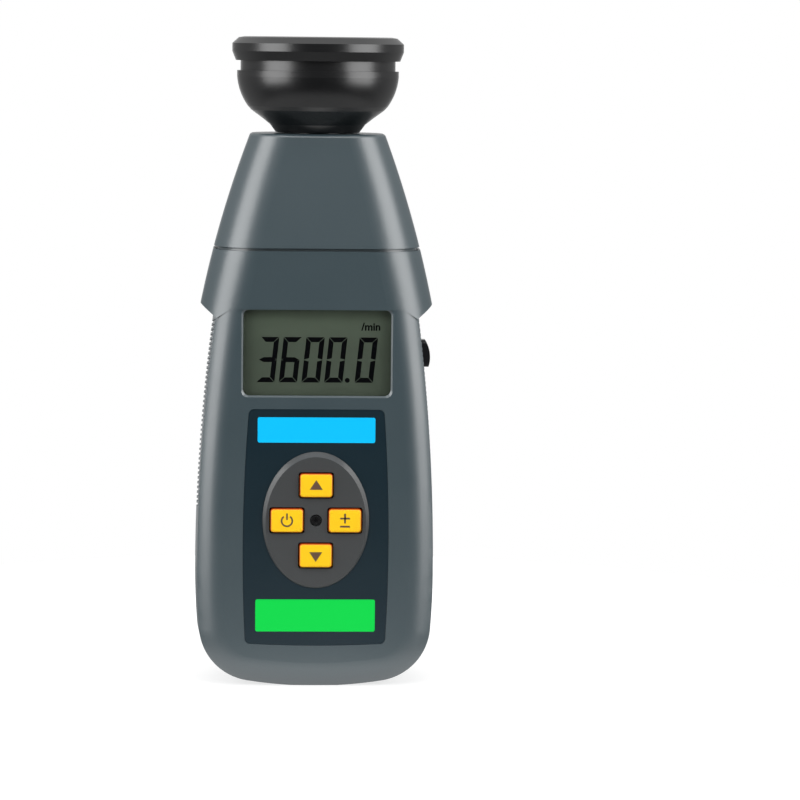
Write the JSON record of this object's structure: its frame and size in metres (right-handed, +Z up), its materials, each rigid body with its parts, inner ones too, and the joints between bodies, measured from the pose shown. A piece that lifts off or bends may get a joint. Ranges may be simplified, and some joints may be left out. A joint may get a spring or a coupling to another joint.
{
  "type": "hand-held stroboscope",
  "caption": "Hand-held digital stroboscope: a round lamp head on a tapering case with a display, a keypad, a side button and a battery bay.",
  "frame": {"origin": "centre of the case's foot, under the lamp's axis, in the plane that the case stands on", "axes": "+Z up the case along the lamp's axis, out of the lamp; the keys and the display face -Y; the side button is on +X"},
  "size_m": [0.0744, 0.0528, 0.1995],
  "materials": {
    "case_grey": "satin moulded plastic, very fine grain",
    "lamp_black": "satin black",
    "clear_window": "clear flat window",
    "seal_rubber": "soft black rubber",
    "board_green": "solder mask",
    "led_clear": "water-clear epoxy",
    "display_glass": "olive grey display",
    "frame_white": "plain",
    "overlay_dark": "printed sheet, fine texture",
    "label_blue": "printed area",
    "label_green": "printed area",
    "pad_grey": "matte",
    "black_steel": "black oxide",
    "key_yellow": "satin",
    "plunger_black": "plain",
    "switch_body": "plain",
    "button_black": "satin",
    "chip_black": "moulded epoxy",
    "bright_metal": "nickel plated",
    "capacitor_sleeve": "shrink sleeve",
    "lead_red": "insulation",
    "cell_jacket": "printed jacket",
    "screw_steel": "zinc plated"
  },
  "bodies": {
    "housing": {"front_case": "case_grey", "rear_case": "case_grey", "nose_front": "case_grey", "nose_rear": "case_grey", "lamp_housing": "lamp_black", "lamp_bezel": "lamp_black", "lamp_window": "clear_window", "window_gasket": "seal_rubber", "led_board": "board_green", "leds": "led_clear", "display_window": "clear_window", "lcd_panel": "display_glass", "lcd_frame": "frame_white", "zebra_strip": "seal_rubber", "overlay_plate": "overlay_dark", "blue_label": "label_blue", "green_label": "label_green", "keypad_bezel": "pad_grey", "keypad_screw": "black_steel", "key_switches": "switch_body", "side_switch": "switch_body", "main_board": "board_green", "main_chip": "chip_black", "crystal": "bright_metal", "capacitors": "capacitor_sleeve", "driver_transistor": "chip_black", "lamp_connector": "frame_white", "battery_connector": "frame_white", "lamp_lead": "lead_red", "battery_lead": "lead_red", "battery_cell_1": "cell_jacket", "battery_cell_2": "cell_jacket", "battery_cell_3": "cell_jacket", "battery_cell_4": "cell_jacket", "contact_springs": "bright_metal", "contact_plates": "bright_metal", "case_screws": "screw_steel", "nose_screws": "screw_steel", "board_screws": "screw_steel"},
    "key_up": {"key_up": "key_yellow", "plunger_up": "plunger_black"},
    "key_down": {"key_down": "key_yellow", "plunger_down": "plunger_black"},
    "key_power": {"key_power": "key_yellow", "plunger_power": "plunger_black"},
    "key_fine": {"key_fine": "key_yellow", "plunger_fine": "plunger_black"},
    "side_button": {"side_button": "button_black", "side_plunger": "plunger_black"},
    "battery_cover": {"battery_cover": "case_grey", "cover_screw": "screw_steel"}
  },
  "joints": [
    {"name": "key_up_press", "type": "slide", "parent": "housing", "child": "key_up", "axis": [0, 1, 0], "range_m": [0, 0.0006], "stiffness_N_per_m": 1500, "springref_m": -0.0004},
    {"name": "key_down_press", "type": "slide", "parent": "housing", "child": "key_down", "axis": [0, 1, 0], "range_m": [0, 0.0006], "stiffness_N_per_m": 1500, "springref_m": -0.0004},
    {"name": "key_power_press", "type": "slide", "parent": "housing", "child": "key_power", "axis": [0, 1, 0], "range_m": [0, 0.0006], "stiffness_N_per_m": 1500, "springref_m": -0.0004},
    {"name": "key_fine_press", "type": "slide", "parent": "housing", "child": "key_fine", "axis": [0, 1, 0], "range_m": [0, 0.0006], "stiffness_N_per_m": 1500, "springref_m": -0.0004},
    {"name": "side_button_press", "type": "slide", "parent": "housing", "child": "side_button", "axis": [-1, 0, 0], "range_m": [0, 0.0012], "stiffness_N_per_m": 1000, "springref_m": -0.0008},
    {"name": "battery_cover_lift", "type": "slide", "parent": "housing", "child": "battery_cover", "axis": [0, 1, 0], "range_m": [0, 0.03]}
  ]
}
